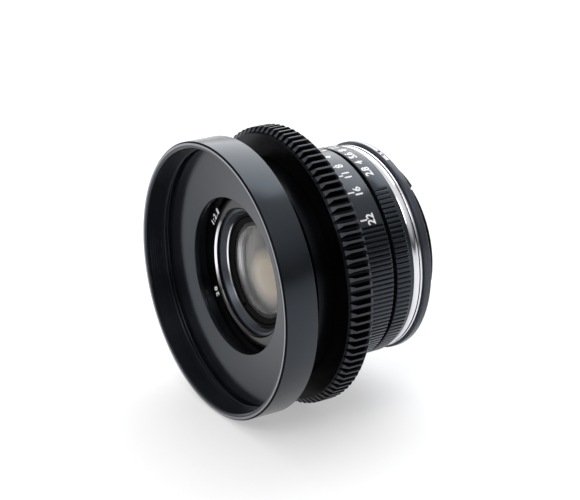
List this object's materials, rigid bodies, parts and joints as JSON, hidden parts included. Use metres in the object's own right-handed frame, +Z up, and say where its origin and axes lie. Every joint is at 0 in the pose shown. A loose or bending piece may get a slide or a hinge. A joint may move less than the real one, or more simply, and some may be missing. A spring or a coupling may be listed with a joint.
{
  "type": "wide-angle prime lens",
  "caption": "Wide-angle prime lens with a wide threaded front ring, a geared focus ring, a ribbed aperture ring and a bayonet mount.",
  "frame": {"origin": "on the optical axis at the register face of the bayonet mount", "axes": "+Y along the optical axis, out of the rear of the lens; -Y is the front; +Z up, towards the scale ring's figures"},
  "size_m": [0.0808, 0.0594, 0.0808],
  "materials": {
    "satin_black": "satin black anodised",
    "gear_black": "black anodised, cut teeth",
    "gloss_black": "gloss black enamel",
    "matt_black": "matt black, against stray light",
    "barrel_aluminium": "turned",
    "helicoid_brass": "turned",
    "chrome": "polished chrome plate",
    "steel": "bright",
    "blackened_steel": "blackened",
    "coated_glass": "coated, polished",
    "bead_red": "moulded"
  },
  "bodies": {
    "fixed_barrel": {"main_barrel": "barrel_aluminium", "scale_ring": "satin_black", "chrome_ring": "chrome", "mount_flange": "satin_black", "bayonet": "chrome", "bayonet_screws": "steel", "light_shield": "matt_black", "index_bead": "bead_red", "guide_keys": "helicoid_brass", "key_screws": "steel", "focus_stop_pin": "steel"},
    "focusing_ring": {"focus_ring": "satin_black", "focus_gear": "gear_black", "focus_helicoid": "helicoid_brass", "focus_screws": "steel", "helicoid_retainer": "barrel_aluminium"},
    "lens_block": {"front_ring": "satin_black", "front_barrel": "satin_black", "front_barrel_screws": "steel", "name_ring": "gloss_black", "shade_cone": "matt_black", "front_retainer": "matt_black", "front_cell": "matt_black", "glass_1": "coated_glass", "glass_2": "coated_glass", "glass_3": "coated_glass", "glass_4": "coated_glass", "glass_5": "coated_glass", "glass_6": "coated_glass", "spacer_1": "matt_black", "spacer_2": "matt_black", "spacer_3": "matt_black", "front_cell_retainer": "matt_black", "rear_cell": "matt_black", "rear_retainer": "matt_black", "iris_cup": "barrel_aluminium", "iris_cover": "matt_black", "lens_carrier": "barrel_aluminium"},
    "aperture_control": {"aperture_ring": "satin_black", "aperture_fork": "blackened_steel", "drive_screw": "steel"},
    "iris_drive": {"cam_ring": "steel", "iris_arm": "steel"},
    "blade_1": {"iris_blade_1": "blackened_steel"},
    "blade_2": {"iris_blade_2": "blackened_steel"},
    "blade_3": {"iris_blade_3": "blackened_steel"},
    "blade_4": {"iris_blade_4": "blackened_steel"},
    "blade_5": {"iris_blade_5": "blackened_steel"},
    "blade_6": {"iris_blade_6": "blackened_steel"}
  },
  "joints": [
    {"name": "focus_turn", "type": "hinge", "parent": "fixed_barrel", "child": "focusing_ring", "pos_m": [0, 0, 0], "axis": [0, 1, 0], "range_deg": [0, 236.07]},
    {"name": "focus_travel", "type": "slide", "parent": "fixed_barrel", "child": "lens_block", "axis": [0, -1, 0], "range_m": [0, 0.00321]},
    {"name": "aperture_turn", "type": "hinge", "parent": "fixed_barrel", "child": "aperture_control", "pos_m": [0, 0, 0], "axis": [0, 1, 0], "range_deg": [-28.7, 20.5]},
    {"name": "iris_turn", "type": "hinge", "parent": "lens_block", "child": "iris_drive", "pos_m": [0, 0, 0], "axis": [0, 1, 0], "range_deg": [-28.7, 20.5]},
    {"name": "blade_1_turn", "type": "hinge", "parent": "lens_block", "child": "blade_1", "pos_m": [0, -0.0196, 0.013], "axis": [0, 1, 0], "range_deg": [-17.51, 12.51]},
    {"name": "blade_2_turn", "type": "hinge", "parent": "lens_block", "child": "blade_2", "pos_m": [0.01126, -0.0196, 0.0065], "axis": [0, 1, 0], "range_deg": [-17.51, 12.51]},
    {"name": "blade_3_turn", "type": "hinge", "parent": "lens_block", "child": "blade_3", "pos_m": [0.01126, -0.0196, -0.0065], "axis": [0, 1, 0], "range_deg": [-17.51, 12.51]},
    {"name": "blade_4_turn", "type": "hinge", "parent": "lens_block", "child": "blade_4", "pos_m": [0, -0.0196, -0.013], "axis": [0, 1, 0], "range_deg": [-17.51, 12.51]},
    {"name": "blade_5_turn", "type": "hinge", "parent": "lens_block", "child": "blade_5", "pos_m": [-0.01126, -0.0196, -0.0065], "axis": [0, 1, 0], "range_deg": [-17.51, 12.51]},
    {"name": "blade_6_turn", "type": "hinge", "parent": "lens_block", "child": "blade_6", "pos_m": [-0.01126, -0.0196, 0.0065], "axis": [0, 1, 0], "range_deg": [-17.51, 12.51]}
  ],
  "couplings": [
    {"joint": "focus_travel", "follows": "focus_turn", "m_per_rad": 0.00077986},
    {"joint": "iris_turn", "follows": "aperture_turn", "ratio": 1},
    {"joint": "blade_1_turn", "follows": "aperture_turn", "ratio": 0.60976},
    {"joint": "blade_2_turn", "follows": "aperture_turn", "ratio": 0.60976},
    {"joint": "blade_3_turn", "follows": "aperture_turn", "ratio": 0.60976},
    {"joint": "blade_4_turn", "follows": "aperture_turn", "ratio": 0.60976},
    {"joint": "blade_5_turn", "follows": "aperture_turn", "ratio": 0.60976},
    {"joint": "blade_6_turn", "follows": "aperture_turn", "ratio": 0.60976}
  ]
}
